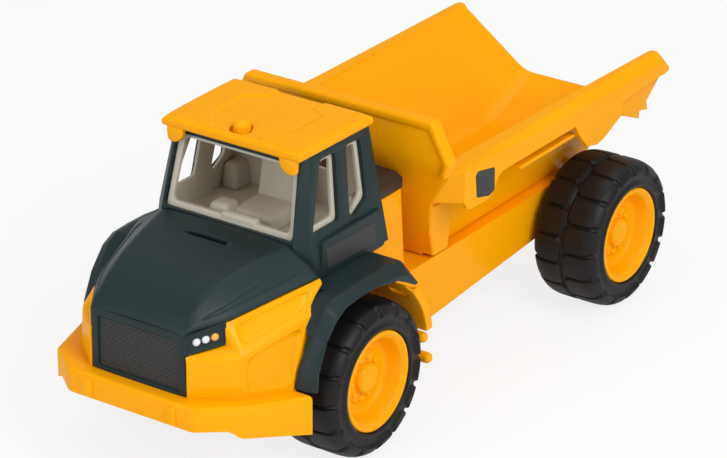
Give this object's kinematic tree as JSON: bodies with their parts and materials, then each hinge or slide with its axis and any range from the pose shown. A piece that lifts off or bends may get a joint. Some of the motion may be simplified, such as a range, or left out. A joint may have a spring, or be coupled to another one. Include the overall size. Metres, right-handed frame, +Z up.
{
  "type": "toy dump truck",
  "caption": "Moulded plastic toy dump truck with a sloping hood, open-window cab, tipping bed with high rails and wheels that roll on steel axles.",
  "frame": {"origin": "middle of the truck's outline on the floor that its tyres stand on", "axes": "+X forward to the bumper, +Y to the truck's left, +Z up"},
  "size_m": [0.338, 0.1508, 0.1467],
  "materials": {
    "yellow_plastic": "gloss",
    "dark_plastic": "satin",
    "grille_plastic": "matt",
    "lamp_white": "gloss",
    "lamp_amber": "gloss",
    "liner_plastic": "satin",
    "cover_plastic": "satin",
    "steel": "satin",
    "tyre_rubber": "matt"
  },
  "bodies": {
    "chassis": {"chassis_frame": "yellow_plastic", "front_body": "yellow_plastic", "hood": "dark_plastic", "grille": "grille_plastic", "head_lamps": "lamp_white", "turn_lamps": "lamp_amber", "fender_left": "dark_plastic", "fender_right": "dark_plastic", "cab_shell": "dark_plastic", "cab_liner": "liner_plastic", "seat": "liner_plastic", "roof": "yellow_plastic", "beacon": "yellow_plastic", "rear_cover": "cover_plastic", "bed_pin": "steel", "front_axle": "steel", "rear_axle": "steel"},
    "bed": {"bed": "yellow_plastic"},
    "wheel_front_left": {"rim_front_left": "yellow_plastic", "tyre_front_left": "tyre_rubber"},
    "wheel_front_right": {"rim_front_right": "yellow_plastic", "tyre_front_right": "tyre_rubber"},
    "wheel_rear_left": {"rim_rear_left": "yellow_plastic", "tyre_rear_left": "tyre_rubber"},
    "wheel_rear_right": {"rim_rear_right": "yellow_plastic", "tyre_rear_right": "tyre_rubber"}
  },
  "joints": [
    {"name": "bed_tilt", "type": "hinge", "parent": "chassis", "child": "bed", "pos_m": [-0.13, 0, 0.0506], "axis": [0, -1, 0], "range_deg": [0, 50]},
    {"name": "spin_front_left", "type": "hinge", "parent": "chassis", "child": "wheel_front_left", "pos_m": [0.079, 0.0483, 0.0352], "axis": [0, 1, 0], "continuous": true},
    {"name": "spin_front_right", "type": "hinge", "parent": "chassis", "child": "wheel_front_right", "pos_m": [0.079, -0.0483, 0.0352], "axis": [0, 1, 0], "continuous": true},
    {"name": "spin_rear_left", "type": "hinge", "parent": "chassis", "child": "wheel_rear_left", "pos_m": [-0.1103, 0.0584, 0.0352], "axis": [0, 1, 0], "continuous": true},
    {"name": "spin_rear_right", "type": "hinge", "parent": "chassis", "child": "wheel_rear_right", "pos_m": [-0.1103, -0.0584, 0.0352], "axis": [0, 1, 0], "continuous": true}
  ]
}
